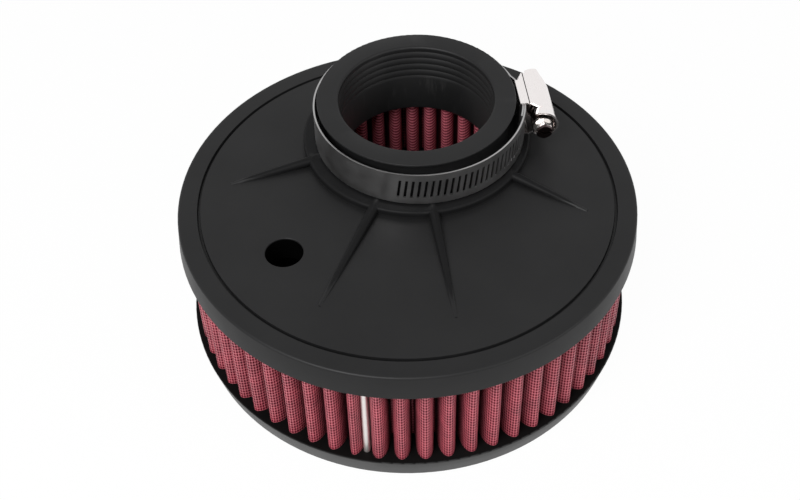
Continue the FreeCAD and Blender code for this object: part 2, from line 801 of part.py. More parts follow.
def make_clamp_screw(document, size):
    """The worm screw: a shank with its thread's root, a collar and a slotted hexagonal head, along +Z."""
    body = new_body(document, "clamp_screw")
    tip_along = size["barrel_rear"] - size["housing_sheet"] - size["screw_play"]
    thread_start = tip_along - size["thread_length"] / 2
    thread_end = tip_along + size["thread_length"] / 2
    collar_start = tip_along + size["barrel_front"] - size["screw_collar_recess"]
    hex_start = collar_start + size["screw_collar_length"]
    hex_end = hex_start + size["hex_length"]
    shank = size["screw_shank_radius"]
    root = size["thread_root_radius"]
    collar = size["screw_collar_radius"]
    profile = new_sketch(body, "ShankProfile", "XZ_Plane")
    draw_outline(profile, [
        (0, 0),
        (shank, 0),
        (shank, thread_start),
        (root, thread_start),
        (root, thread_end),
        (shank, thread_end),
        (shank, collar_start),
        (collar, collar_start),
        (collar, hex_start),
        (0, hex_start),
    ])
    turn_profile(body, "PartDesign::Revolution", "Shank", profile)

    half_flats = size["hex_across_flats"] / 2
    corner = half_flats / cosine(30)
    hexagon = new_sketch(body, "HexOutline", "XY_Plane", placement_text(0, 0, hex_start))
    draw_outline(hexagon, [(corner * cosine(angle), corner * sine(angle)) for angle in range(0, 360, 60)])
    pad_profile(body, "Hex", hexagon, size["hex_length"])

    chamfer = new_sketch(body, "HexCornerProfile", "XZ_Plane")
    draw_outline(chamfer, [
        (half_flats, hex_end),
        (corner + size["screw_play"], hex_end - size["hex_corner_drop"]),
        (corner + size["screw_play"], hex_end + size["screw_play"]),
        (half_flats, hex_end + size["screw_play"]),
    ])
    turn_profile(body, "PartDesign::Groove", "HexCorners", chamfer)

    drive = new_sketch(body, "DriverSlot", "XY_Plane", placement_text(0, 0, hex_end))
    half_width = size["driver_slot_width"] / 2
    draw_outline(drive, [
        (-half_width, -corner),
        (half_width, -corner),
        (half_width, corner),
        (-half_width, corner),
    ])
    body.Tip = pocket_profile(body, "DriverSlotCut", drive, size["driver_slot_depth"])
    axis = screw_axis_distance(size)
    body.setExpression("Placement", clamp_place(size, out=axis, along=tip_along, yaw=-90, pitch=90))
    return body


def check_document(document, parts):
    """Stops before anything is written if an object failed or a piece has no sound solid."""
    document.recompute()
    for item in document.Objects:
        if "Invalid" in item.State or "Error" in item.State:
            raise RuntimeError(f"{item.Name} failed: {item.State}")
    for part in parts:
        shape = part.Shape
        if shape.isNull() or not shape.isValid() or not shape.Solids:
            raise RuntimeError(f"{part.Label} has no sound solid")


def main():
    document = FreeCAD.newDocument("air_filter")
    size = fill_sheet(document)
    makers = (
        make_top_cap,
        make_bottom_cap,
        make_pleated_element,
        make_seam_clip,
        make_clamp_band,
        make_clamp_housing,
        make_clamp_screw,
    )
    parts = [make(document, size) for make in makers]
    check_document(document, parts)
    os.makedirs("parts", exist_ok=True)
    for part in parts:
        part.Shape.exportStep(f"parts/{part.Label}.step")
        solids = len(part.Shape.Solids)
        print(f"{part.Label}: {solids} solid, {part.Shape.Volume / 1000:.2f} cubic centimetres")


main()
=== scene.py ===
"""Looks for the clamp-on air filter.

Its rubber, steel and oiled gauze, the folded pleats, the worm's thread, the clamp's strip and housing, and
the camera, floor and lamps.
"""

import math
import random
from bisect import bisect_left

import bpy
from mathutils import Matrix, Vector


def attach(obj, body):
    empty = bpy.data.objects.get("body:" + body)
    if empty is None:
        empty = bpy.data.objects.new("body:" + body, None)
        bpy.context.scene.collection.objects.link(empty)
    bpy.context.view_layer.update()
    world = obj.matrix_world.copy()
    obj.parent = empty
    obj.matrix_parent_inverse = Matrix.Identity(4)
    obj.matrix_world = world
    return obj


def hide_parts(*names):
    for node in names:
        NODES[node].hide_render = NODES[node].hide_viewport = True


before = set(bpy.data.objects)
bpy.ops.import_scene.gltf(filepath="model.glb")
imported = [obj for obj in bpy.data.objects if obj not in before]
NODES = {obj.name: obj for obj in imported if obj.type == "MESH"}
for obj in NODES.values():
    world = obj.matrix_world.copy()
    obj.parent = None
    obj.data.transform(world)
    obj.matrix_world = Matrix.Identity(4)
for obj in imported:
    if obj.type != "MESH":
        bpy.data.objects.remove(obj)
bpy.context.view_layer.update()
MM = 0.001

# Places on the rubber caps
FACE_HEIGHT = 54.2 * MM
FOOT_TOP = 57.3 * MM
MOUTH_HEIGHT = 72.5 * MM
LEDGE_HEIGHT = 8.1 * MM
BORE_Y = 28.45 * MM
BORE_RADIUS = 26.3 * MM
VENT_X = -36.112 * MM
VENT_Y = -29.768 * MM
VENT_RADIUS = 6.2 * MM

# Shades of the rubber
RUBBER = (0.0075, 0.0075, 0.0078), (0.0105, 0.0105, 0.0108)
# Painted shade: the base's ledge is painted darker than the cap's rubber
PAINTED_SHADE_RUBBER = (0.0035, 0.0034, 0.0034), (0.006, 0.0058, 0.0058)
# Painted light from the floor on the base's side
BASE_SIDE_PAINTED_LIGHT = (0.043, 0.043, 0.043)
# Painted sheen on the bore's flanks
PAINTED_BORE_SHEEN = (0.024, 0.0235, 0.0235)
BORE_STREAK = (0.03, 0.029, 0.029)
# Painted shade inside the vent
PAINTED_VENT_SHADE = (0.0015, 0.0015, 0.0015)

# How strongly the rubber reflects, and how far its streaks and its painted light and shade replace its own
# shade
CAP_SPECULAR = 0.2
BORE_SPECULAR = 0.28
FOOT_SPECULAR = 0.02
VENT_SPECULAR = 0.0
LEDGE_SPECULAR = 0.03
BASE_SPECULAR = 0.24
FLANK_SHARE = 0.7
STREAK_SHARE = 0.7
FOOT_SHARE = 0.72

# Where the painted sheen on the bore's flanks starts and is full, sideways from its middle, and how low its
# streaks begin
FLANK_FROM = 13.0 * MM
FLANK_TO = 24.0 * MM
STREAKS_FROM = 60.0 * MM
STREAKS_TO = 57.0 * MM

# The worm screw, with painted shade on its shank and a dark painted reflection on its head's end
SCREW_TIP = Vector((37.9249, 50.8440, 63.7)) * MM
SCREW_AZIMUTH = math.radians(13.1)
SCREW_AXIS = Vector((math.sin(SCREW_AZIMUTH), -math.cos(SCREW_AZIMUTH), 0.0))
HEAD_START = 22.2 * MM
HEAD_END = 25.8 * MM
PAINTED_SHADE_EDGE = 0.15 * MM
# Painted dark reflection on the head's end, and painted shade on the shank inside the housing
HEAD_PAINTED_REFLECTION = (0.05, 0.035, 0.035)
SHANK_PAINTED_SHADE = (0.16, 0.13, 0.12)

# The wire mesh on the gauze: the distance between its wires, and how far they pass over each other
MESH_ACROSS = 0.9 * MM
MESH_UP = 1.4 * MM
WEAVE_DEPTH = 0.1
KNOT_SHARE = 0.7

# How high on its wave each wire starts and is full
UPRIGHT_WIRE = 0.5, 0.9
UPRIGHT_HEIGHT = 0.9
LEVEL_WIRE = 0.74, 0.98
# The inside's painted glints along its level wires
INSIDE_GLINT = 0.35, 0.9
WIRE_EDGE = 0.08, 0.85

# Reds of the gauze: cotton, wires, and the inside's painted light, each from dark to light
COTTON = (0.045, 0.001, 0.006), (0.1, 0.002, 0.013)
WIRES = (0.27, 0.038, 0.058), (0.5, 0.085, 0.115)
# Painted light on the inside's folds
PAINTED_LIT_INSIDE = (0.17, 0.008, 0.024), (0.76, 0.2, 0.25)
KNOT = (0.64, 0.21, 0.24)
# Painted shade between the folds
PAINTED_FOLD_SHADE = (0.02, 0.001, 0.003)

# Distances from the axis over which the painted fold shade fades, and the inside's painted light begins
OUTER_FOLDS = 67.0 * MM, 72.5 * MM
INNER_FOLDS = 66.0 * MM, 63.0 * MM
INNER_NOSES = 64.5 * MM, 63.0 * MM

# How fine each surface's unevenness is, as the scale of its noise
FLOW_MARKS = 38.0
UNEVEN_GLOSS = 55.0
SOFT_WAVES = 120.0
SATIN_GRAIN = 2600.0
SMUDGES = 160.0
DUST_PATCHES = 170.0
COTTON_FIBRE = 1900.0
UPRIGHT_STREAKS = (420.0, 420.0, 60.0)
NOISE_LOW = 0.3
NOISE_HIGH = 0.7

# Roughness of the rubber, and from the cotton to the wires of the gauze, with its specular level
RUBBER_ROUGHNESS = 0.42, 0.5
GAUZE_ROUGHNESS = 0.75, 0.42
GAUZE_SPECULAR = 0.1, 0.45


class Graph:
    """A material's node tree, with short calls for the nodes that repeat."""

    def __init__(self, name):
        self.material = bpy.data.materials.new(name)
        self.material.use_nodes = True
        self.tree = self.material.node_tree
        self.shader = self.tree.nodes["Principled BSDF"]

    def node(self, kind, **settings):
        made = self.tree.nodes.new(kind)
        for name, value in settings.items():
            setattr(made, name, value)
        return made

    def feed(self, socket, value):
        if isinstance(value, bpy.types.NodeSocket):
            self.tree.links.new(value, socket)
        elif isinstance(value, tuple) and socket.type == "RGBA":
            socket.default_value = (*value, 1.0)
        else:
            socket.default_value = value

    def math(self, operation, first, second=0.0):
        made = self.node("ShaderNodeMath", operation=operation)
        self.feed(made.inputs[0], first)
        self.feed(made.inputs[1], second)
        return made.outputs[0]

    def product(self, first, *others):
        for other in others:
            first = self.math("MULTIPLY", first, other)
        return first

    def place(self, scale=None):
        """The point's place on the filter in metres, or stretched along its axes."""
        point = self.node("ShaderNodeTexCoord").outputs["Object"]
        if scale is None:
            return point
        made = self.node("ShaderNodeMapping")
        self.feed(made.inputs["Vector"], point)
        self.feed(made.inputs["Scale"], scale)
        return made.outputs[0]

    def split(self, vector):
        made = self.node("ShaderNodeSeparateXYZ")
        self.feed(made.inputs[0], vector)
        return made.outputs

    def distance(self, across, along):
        """How far a point is from an upright axis, from its two distances."""
        square = self.math("ADD", self.product(across, across), self.product(along, along))
        return self.math("SQRT", square)

    def noise(self, scale, detail, roughness, vector=None):
        made = self.node("ShaderNodeTexNoise")
        self.feed(made.inputs["Vector"], vector or self.place())
        self.feed(made.inputs["Scale"], scale)
        self.feed(made.inputs["Detail"], detail)
        self.feed(made.inputs["Roughness"], roughness)
        return made.outputs[0]

    def spread(self, value, low, high, to_low=0.0, to_high=1.0):
        made = self.node("ShaderNodeMapRange")
        for socket, given in zip(made.inputs, (value, low, high, to_low, to_high)):
            self.feed(socket, given)
        return made.outputs[0]

    def contrast(self, noise, to_low=0.0, to_high=1.0):
        """A noise with its usual range stretched to these two values."""
        return self.spread(noise, NOISE_LOW, NOISE_HIGH, to_low, to_high)

    def mix(self, factor, first, second):
        made = self.node("ShaderNodeMix", data_type="RGBA")
        self.feed(made.inputs[0], factor)
        self.feed(made.inputs[6], first)
        self.feed(made.inputs[7], second)
        return made.outputs[2]

    def mix_number(self, factor, first, second):
        made = self.node("ShaderNodeMix", data_type="FLOAT")
        self.feed(made.inputs[0], factor)
        self.feed(made.inputs[2], first)
        self.feed(made.inputs[3], second)
        return made.outputs[0]

    def bump(self, height, distance, strength, normal=None):
        made = self.node("ShaderNodeBump")
        self.feed(made.inputs["Strength"], strength)
        self.feed(made.inputs["Distance"], distance)
        self.feed(made.inputs["Height"], height)
        if normal:
            self.feed(made.inputs["Normal"], normal)
        return made.outputs[0]

    def finish(self, **values):
        for name, value in values.items():
            self.feed(self.shader.inputs[name.replace("_", " ")], value)
        return self.material


def rubber(name, shades, specular, painted_light):
    """Moulded black rubber: a fine satin grain, faint flow lines and slightly uneven gloss.

    The last argument changes the colour and the specular level where light or shade is painted, and adds any
    streaks.
    """
    graph = Graph(name)
    colour = graph.mix(graph.contrast(graph.noise(FLOW_MARKS, detail=4.0, roughness=0.55)), *shades)
    colour, specular = painted_light(graph, colour, specular)
    rough = graph.contrast(graph.noise(UNEVEN_GLOSS, detail=5.0, roughness=0.6), *RUBBER_ROUGHNESS)
    waves = graph.noise(SOFT_WAVES, detail=3.0, roughness=0.5)
    grain = graph.noise(SATIN_GRAIN, detail=2.0, roughness=0.6)
    normal = graph.bump(waves, distance=0.12 * MM, strength=0.3)
    normal = graph.bump(grain, distance=0.03 * MM, strength=0.45, normal=normal)
    return graph.finish(Base_Color=colour, Roughness=rough, Specular_IOR_Level=specular, Normal=normal)


def base_painted_light(graph, colour, specular):
    """Painted light from the floor: the base's side, below its ledge, is paler and reflects more."""
    height = graph.split(graph.place())[2]
    below = graph.spread(height, LEDGE_HEIGHT - 0.2 * MM, LEDGE_HEIGHT + 0.2 * MM, 1.0, 0.0)
    return graph.mix(below, colour, BASE_SIDE_PAINTED_LIGHT), graph.mix_number(below, specular, BASE_SPECULAR)


def cap_streaks_and_painted_light(graph, colour, specular):
    """Painted sheen on the bore's flanks, faint streaks low down, painted shade on the neck's foot and vent.
    """
    x, y, z = graph.split(graph.place())
    reach = graph.distance(x, graph.math("SUBTRACT", y, BORE_Y))
    bore = graph.product(graph.spread(reach, BORE_RADIUS + 1.0 * MM, BORE_RADIUS + 0.6 * MM),
                         graph.spread(z, MOUTH_HEIGHT - 0.4 * MM, MOUTH_HEIGHT - 1.4 * MM))
    # Painted sheen on the bore's flanks, paler sideways from its middle
    flank_sheen = graph.spread(graph.math("ABSOLUTE", x), FLANK_FROM, FLANK_TO, 0.0, FLANK_SHARE)
    low = graph.spread(z, STREAKS_FROM, STREAKS_TO, 0.0, STREAK_SHARE)
    streaks = graph.noise(1.0, detail=4.0, roughness=0.65, vector=graph.place(UPRIGHT_STREAKS))
    # Painted shade on the neck's foot, under the band: a little darker, and reflecting less
    beyond = graph.spread(reach, BORE_RADIUS + 4.0 * MM, BORE_RADIUS + 5.0 * MM, 0.0, FOOT_SHARE)
    foot = graph.product(graph.spread(z, FOOT_TOP, FOOT_TOP - 0.3 * MM),
                         graph.spread(z, FACE_HEIGHT, FACE_HEIGHT + 0.3 * MM), beyond)
    # Painted shade inside the vent: near black, with no reflection
    vent_reach = graph.distance(graph.math("SUBTRACT", x, VENT_X), graph.math("SUBTRACT", y, VENT_Y))
    vent = graph.product(graph.spread(vent_reach, VENT_RADIUS + 0.4 * MM, VENT_RADIUS + 0.1 * MM),
                         graph.spread(z, FACE_HEIGHT - 0.9 * MM, FACE_HEIGHT - 1.4 * MM))
    for share, shade in (
        (graph.product(flank_sheen, bore), PAINTED_BORE_SHEEN),
        (foot, RUBBER[0]),
        (vent, PAINTED_VENT_SHADE),
        (graph.product(graph.spread(streaks, 0.56, 0.74), bore, low), BORE_STREAK),
    ):
        colour = graph.mix(share, colour, shade)
    for share, level in ((bore, BORE_SPECULAR), (foot, FOOT_SPECULAR), (vent, VENT_SPECULAR)):
        specular = graph.mix_number(share, specular, level)
    return colour, specular


def steel(name, colour, roughness, grain, streak, relief=0.5, painted_light=None):
    """Bare metal with fine rolling lines across the grain's long direction, and faint smudges.

    streak says how much darker the lines are, and the last argument changes the colour where shade is
    painted.
    """
    graph = Graph(name)
    lines = graph.noise(1.0, detail=3.0, roughness=0.65, vector=graph.place(grain))
    darker = tuple(channel * (1.0 - streak) for channel in colour)
    shade = graph.mix(graph.contrast(lines), darker, colour)
    if painted_light:
        shade = painted_light(graph, shade)
    smudges = graph.noise(SMUDGES, detail=4.0, roughness=0.6)
    rough = graph.contrast(smudges, roughness - 0.04, roughness + 0.05)
    normal = graph.bump(lines, distance=0.02 * MM, strength=relief)
    return graph.finish(Base_Color=shade, Metallic=1.0, Roughness=rough, Normal=normal)


def screw_painted_shade(graph, shade):
    """Painted shade on the screw's shank inside the housing, and a dark painted reflection on its head's
    end.
    """
    measure = graph.node("ShaderNodeVectorMath", operation="DOT_PRODUCT")
    graph.feed(measure.inputs[0], graph.place())
    graph.feed(measure.inputs[1], tuple(SCREW_AXIS))
    along = measure.outputs["Value"]
    head_start = SCREW_TIP.dot(SCREW_AXIS) + HEAD_START
    head_end = SCREW_TIP.dot(SCREW_AXIS) + HEAD_END
    shade = graph.mix(graph.spread(along, head_end, head_end + PAINTED_SHADE_EDGE), shade, HEAD_PAINTED_REFLECTION)
    return graph.mix(graph.spread(along, head_start - PAINTED_SHADE_EDGE, head_start), SHANK_PAINTED_SHADE, shade)


def gauze(name):
    """Red oiled cotton gauze behind a fine woven wire mesh, which follows the folded sheet.

    Painted shade darkens the sheet between its outer and inner folds; painted light brightens the inside.
    """
    graph = Graph(name)
    along, up, _ = graph.split(graph.node("ShaderNodeUVMap", uv_map="sheet").outputs[0])
    along = graph.product(along, math.pi / MESH_ACROSS)
    up = graph.product(up, math.pi / MESH_UP)
    weave = graph.product(graph.math("SINE", along), graph.math("SINE", up), WEAVE_DEPTH)
    columns = graph.math("ABSOLUTE", graph.math("COSINE", along))
    rows = graph.math("ABSOLUTE", graph.math("COSINE", up))
    upright = graph.spread(columns, *UPRIGHT_WIRE, 0.0, UPRIGHT_HEIGHT)
    level = graph.spread(rows, *LEVEL_WIRE)
    wire = graph.math("MAXIMUM", graph.math("ADD", upright, weave), graph.math("SUBTRACT", level, weave))
    share = graph.spread(wire, *WIRE_EDGE)
    knots = graph.product(upright, level, KNOT_SHARE)
    fibre = graph.noise(COTTON_FIBRE, detail=3.0, roughness=0.7)
    patches = graph.contrast(graph.noise(DUST_PATCHES, detail=4.0, roughness=0.6))
    tone = graph.math("ADD", graph.product(fibre, 0.5), graph.product(patches, 0.5))
    wires = graph.mix(graph.spread(tone, 0.3, 0.8), *WIRES)
    colour = graph.mix(share, graph.mix(patches, *COTTON), wires)
    colour = graph.mix(knots, colour, KNOT)
    x, y, _ = graph.split(graph.place())
    reach = graph.distance(x, y)
    # Painted shade darkens the sheet between the outer and inner noses
    folds = graph.math("MAXIMUM", graph.spread(reach, *OUTER_FOLDS), graph.spread(reach, *INNER_FOLDS))
    colour = graph.mix(folds, PAINTED_FOLD_SHADE, colour)
    # Painted light on the inner noses, with painted glints along their level wires
    inside = graph.mix(graph.spread(rows, *INSIDE_GLINT), *PAINTED_LIT_INSIDE)
    colour = graph.mix(graph.spread(reach, *INNER_NOSES), colour, inside)
    normal = graph.bump(fibre, distance=0.05 * MM, strength=0.4)
    normal = graph.bump(wire, distance=0.2 * MM, strength=1.0, normal=normal)
    rough = graph.spread(share, 0.0, 1.0, *GAUZE_ROUGHNESS)
    specular = graph.spread(share, 0.0, 1.0, *GAUZE_SPECULAR)
    return graph.finish(Base_Color=colour, Roughness=rough, Specular_IOR_Level=specular, Normal=normal)


def shade_smooth(obj, crease):
    """Shades smoothly across the edges that are flatter than the crease, in degrees."""
    obj.data.polygons.foreach_set("use_smooth", [True] * len(obj.data.polygons))
    split = obj.modifiers.new("crease", "EDGE_SPLIT")
    split.use_edge_sharp = False
    split.split_angle = math.radians(crease)


def dress(node, material, crease):
    """Gives a solid piece its material."""
    obj = NODES[node]
    obj.data.materials.clear()
    obj.data.materials.append(material)
    weld = obj.modifiers.new("weld", "WELD")
    weld.merge_threshold = 0.002 * MM
    shade_smooth(obj, crease)


def mesh_piece(name, vertices, faces, material, body, crease):
    mesh = bpy.data.meshes.new(name)
    mesh.from_pydata([tuple(vertex) for vertex in vertices], [], faces)
    mesh.materials.append(material)
    obj = bpy.data.objects.new(name, mesh)
    bpy.context.scene.collection.objects.link(obj)
    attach(obj, body)
    shade_smooth(obj, crease)
    return obj


def polar(radius, angle):
    return radius * math.cos(angle), radius * math.sin(angle)


def share_between(value, low, high):
    """How far a value is on its way from low to high, from 0 to 1."""
    return max(0.0, min(1.0, (value - low) / (high - low)))


def rings_to_faces(count, sides, start=0, turned=False):
    """Faces between closed rings of equal length, with a face over each end, all turned over where asked."""
    faces = []
    for ring in range(count - 1):
        near = start + ring * sides
        far = near + sides
        for i in range(sides):
            after = (i + 1) % sides
            faces.append([near + i, near + after, far + after, far + i])
    first = [start + i for i in range(sides)]
    last = [start + (count - 1) * sides + i for i in range(sides)]
    if turned:
        faces = [[corner, *reversed(others)] for corner, *others in faces]
        last.reverse()
    else:
        first.reverse()
    return [*faces, first, last]


# The pleats: how many, where they start, and their heights in mm
PLEATS = 61
PLEAT_STEP = 2.0 * math.pi / PLEATS
PLEAT_TURN = math.radians(0.3)
PLEAT_FOOT = 8.4
PLEAT_TOP = 44.3
PLEAT_ROWS = 7

# Each bend of the sheet is a quarter oval: the radius of its middle, its depth and its half width, in mm
BEND_STEPS = 8
NOSE_OUTSIDE = (69.0, 5.5, 2.78)
NOSE_INSIDE = (71.5, 0.95, 0.76)
NOSE_FULLNESS = 0.7
FLANK_OUTSIDE = (67.0, 2.84)
FLANK_INSIDE = (69.0, 0.78)
VALLEY_OUTSIDE = (64.5, -0.45, 0.42)
VALLEY_INSIDE = (66.4, -5.8, 2.58)

# How uneven the folds are. It fades out towards their valleys
FOLD_SEED = 12
FOLD_RANGES = {"width": (-0.03, 0.03), "lean": (-0.16, 0.16), "bow": (-0.14, 0.14), "short": (0.0, 0.18)}
LAST_FOLD = {"width": -0.2, "lean": -0.3}
BELLY = 0.08
STILL_RADIUS = 64.0
FREE_RADIUS = 73.0

# The seam: where it is, the room beside it, and the fin of the sheet's two ends
SEAM_AZIMUTH = math.radians(-94.0)
SEAM_ROOM = 0.7
FIN_ROOT = 64.2
FIN_REACH = 71.3
FIN_HALF = 0.35
SHEET_EDGE = 2.0 * MM


def bend(oval, turn, fullness=1.0):
    middle, depth, half_width = oval
    return middle + depth * math.cos(turn), half_width * math.sin(turn) ** fullness


def half_pleat():
    """The sheet from a pleat's nose to its valley: whether in the valley, then its outer and inner point.

    A point is a radius and a distance sideways, in mm, from the nose's line or else from the valley's.
    """
    turns = [math.pi / 2.0 * step / BEND_STEPS for step in range(BEND_STEPS + 1)]
    half = [(False, bend(NOSE_OUTSIDE, turn), bend(NOSE_INSIDE, turn, NOSE_FULLNESS)) for turn in turns]
    half.append((False, FLANK_OUTSIDE, FLANK_INSIDE))
    half.extend((True, bend(VALLEY_OUTSIDE, turn), bend(VALLEY_INSIDE, turn)) for turn in reversed(turns))
    return half


def pleat_loops(height_share, folds):
    """The folded sheet's outer and inner faces in plan at one height, as lists of points in mm."""
    outer = []
    inner = []
    half = half_pleat()
    belly = math.sin(math.pi * height_share)
    for index, fold in enumerate(folds):
        nose = PLEAT_STEP * (index + 0.5) + PLEAT_TURN
        walk = [(-1, *step) for step in reversed(half)] + [(1, *step) for step in half[1:]]
        if index:
            walk = walk[1:]
        for way, in_valley, outer_point, inner_point in walk:
            for points, (radius, side) in ((outer, outer_point), (inner, inner_point)):
                share = share_between(radius, STILL_RADIUS, FREE_RADIUS)
                if in_valley:
                    if (index, way) in ((0, -1), (PLEATS - 1, 1)):
                        side = max(side, SEAM_ROOM)
                    angle = nose + way * (PLEAT_STEP / 2.0 - side / radius)
                else:
                    width = side * (1.0 + fold["width"] * share)
                    angle = nose + way * width / radius
                lean = share * (fold["lean"] + belly * fold["bow"])
                radius -= share * (fold["short"] - belly * BELLY)
                points.append((radius, angle + lean / radius))
    fin = [(FIN_ROOT, -FIN_HALF), (FIN_REACH, -FIN_HALF), (FIN_REACH, FIN_HALF), (FIN_ROOT, FIN_HALF)]
    outer = [polar(*point) for point in outer] + fin
    inner = [polar(*point) for point in inner]
    last = inner[-1]
    first = inner[0]
    for step in range(1, len(fin) + 1):
        share = step / (len(fin) + 1)
        inner.append((last[0] + (first[0] - last[0]) * share, last[1] + (first[1] - last[1]) * share))
    return outer, inner


def make_pleats(material):
    """The pleated gauze: full, slightly uneven folds with a sheet of even thickness, closed at both ends."""
    source = random.Random(FOLD_SEED)
    folds = [{name: source.uniform(*limits) for name, limits in FOLD_RANGES.items()} for _ in range(PLEATS)]
    folds[-1].update(LAST_FOLD)
    vertices = []
    spans = []
    for row in range(PLEAT_ROWS):
        share = row / (PLEAT_ROWS - 1)
        height = PLEAT_FOOT + (PLEAT_TOP - PLEAT_FOOT) * share
        for loop in pleat_loops(share, folds):
            vertices.extend(Vector((x, y, height)) * MM for x, y in loop)
            if row == 0:
                lengths = [math.dist(loop[i], loop[(i + 1) % len(loop)]) * MM for i in range(len(loop))]
                spans.append([sum(lengths[:i]) for i in range(len(loop) + 1)])
    count = len(vertices) // (2 * PLEAT_ROWS)
    faces = []
    texture = []

    def add(corners, places, turned):
        faces.append(corners[::-1] if turned else corners)
        texture.extend(places[::-1] if turned else places)

    for row in range(PLEAT_ROWS - 1):
        low = vertices[row * 2 * count].z
        high = vertices[(row + 1) * 2 * count].z
        for side, span in enumerate(spans):
            start = (row * 2 + side) * count
            for i in range(count):
                after = (i + 1) % count
                near = span[i]
                far = span[i + 1]
                add([start + i, start + after, start + after + 2 * count, start + i + 2 * count],
                    [(near, low), (far, low), (far, high), (near, high)], side == 1)
    for row, turned in ((0, False), (PLEAT_ROWS - 1, True)):
        start = row * 2 * count
        for i in range(count):
            after = (i + 1) % count
            near = spans[0][i]
            far = spans[0][i + 1]
            add([start + i, start + count + i, start + count + after, start + after],
                [(near, 0.0), (near, SHEET_EDGE), (far, SHEET_EDGE), (far, 0.0)], turned)
    turn = Matrix.Rotation(SEAM_AZIMUTH, 4, "Z")
    vertices = [turn @ vertex for vertex in vertices]
    piece = mesh_piece("pleats", vertices, faces, material, "filter", crease=70.0)
    layer = piece.data.uv_layers.new(name="sheet")
    layer.data.foreach_set("uv", [number for place in texture for number in place])
    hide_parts("pleated_element")


# The worm's thread along the screw, and its section in mm: distance from the axis and along it
THREAD_PITCH = 2.2 * MM
THREAD_START = 6.95 * MM
THREAD_END = 17.05 * MM
THREAD_SECTION = ((3.2, -0.62), (3.6, -0.5), (4.02, -0.26), (4.02, 0.26), (3.6, 0.5), (3.2, 0.62))
THREAD_ROOT = 3.2
STEPS_A_TURN = 32
RUN_OUT = 12.0
LEAST_RIDGE = 0.05


def make_thread(material):
    """The worm's right-handed ridge round the screw's root, tapering away at both ends."""
    across = Vector((math.cos(SCREW_AZIMUTH), math.sin(SCREW_AZIMUTH), 0.0))
    upward = SCREW_AXIS.cross(across)
    length = THREAD_END - THREAD_START
    steps = int(length / THREAD_PITCH * STEPS_A_TURN)
    vertices = []
    for step in range(steps + 1):
        share = step / steps
        turn = 2.0 * math.pi * length / THREAD_PITCH * share
        middle = THREAD_START + length * share
        swell = max(min(1.0, RUN_OUT * share, RUN_OUT * (1.0 - share)), LEAST_RIDGE)
        outward = across * math.cos(turn) + upward * math.sin(turn)
        for radius, offset in THREAD_SECTION:
            reach = THREAD_ROOT + (radius - THREAD_ROOT) * swell
            vertices.append(SCREW_TIP + SCREW_AXIS * (middle + offset * MM) + outward * (reach * MM))
    faces = rings_to_faces(steps + 1, len(THREAD_SECTION), turned=True)
    mesh_piece("screw_thread", vertices, faces, material, "screw", crease=40.0)


# The clamp's centre, in mm, and how far out from it the screw and the housing's foot are
CLAMP_CENTRE = Vector((1.0, 28.75, 63.7))
SCREW_OUT = 40.9716
SADDLE = 33.45

# The clamp's strip: its section and its line in plan, in mm and degrees from the housing
STRIP_HALF = 6.35
STRIP_SHEET = 0.55
TONGUE_RADIUS = 35.4
TONGUE_DEGREES = range(-19, 1)
TONGUE_RISE = [(35.37, 2.0), (35.3, 4.0), (34.85, 6.1), (33.9, 8.2)]
ROUND_DEGREES = range(16, 355)
NEAR_RADIUS = 34.4
NEAR_TO_FULL = 1.7
NEAR_UNTIL = 72.0
FULL_FROM = 140.0
TAIL_LENGTH = 12.5
TAIL_ANGLE = math.radians(5.0)

# The strip's worm slots, in mm, counted from where its tail begins
SLOT_PITCH = 2.2
SLOT_NUMBERS = range(-29, 6)
SLOT_HALF_WIDTH = 0.45
SLOT_HALF_HEIGHT = 3.7
SLOT_LEAN = 0.45
SLOT_MARGIN = 1.2
PLAIN_COLUMNS = 200


def clamp_place(out, along, high):
    """A point of the clamp's own frame, in mm: out from its centre, along the screw, and up."""
    turned = Matrix.Rotation(SCREW_AZIMUTH, 4, "Z") @ Vector((out, along, high))
    return (CLAMP_CENTRE + turned) * MM


def strip_path():
    """The strip's outer face in plan: tongue, once round the neck, and tail, in mm from the clamp's centre.

    It lies closer to the neck behind the housing. Also gives how far along it the tail begins.
    """
    points = [polar(TONGUE_RADIUS, math.radians(degrees)) for degrees in TONGUE_DEGREES]
    points += TONGUE_RISE
    for degrees in ROUND_DEGREES:
        share = share_between(degrees, NEAR_UNTIL, FULL_FROM)
        radius = NEAR_RADIUS + NEAR_TO_FULL * share * share * (3.0 - 2.0 * share)
        points.append(polar(radius, math.radians(degrees)))
    tail_start = sum(math.dist(*pair) for pair in zip(points, points[1:]))
    out, along = points[-1]
    points.append((out + TAIL_LENGTH * math.sin(TAIL_ANGLE), along + TAIL_LENGTH * math.cos(TAIL_ANGLE)))
    return points, tail_start


